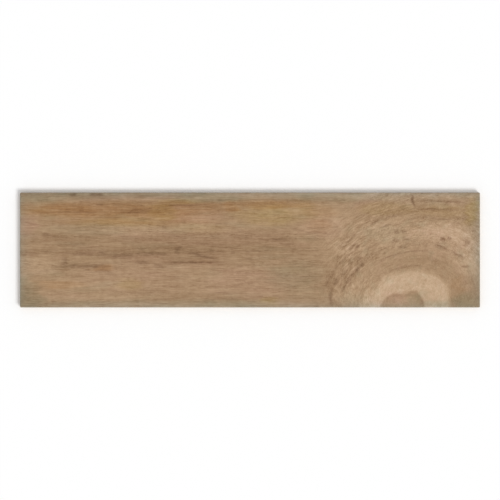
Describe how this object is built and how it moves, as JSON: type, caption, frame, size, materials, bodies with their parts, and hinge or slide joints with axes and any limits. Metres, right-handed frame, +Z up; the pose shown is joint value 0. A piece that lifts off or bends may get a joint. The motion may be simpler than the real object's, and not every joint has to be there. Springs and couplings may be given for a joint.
{
  "type": "wood look porcelain plank tile",
  "caption": "Rectangular porcelain plank tile with a wood grain printed face, rounded face edges and a keyed back for bedding in mortar.",
  "frame": {"origin": "middle of the bedding plane, which is the plane of the ribs on the back", "axes": "+X along the plank, +Y across it, +Z up out of the printed face"},
  "size_m": [0.6, 0.15, 0.009],
  "materials": {
    "porcelain": "matte"
  },
  "bodies": {
    "root": {"plank_tile": "porcelain"}
  },
  "joints": []
}
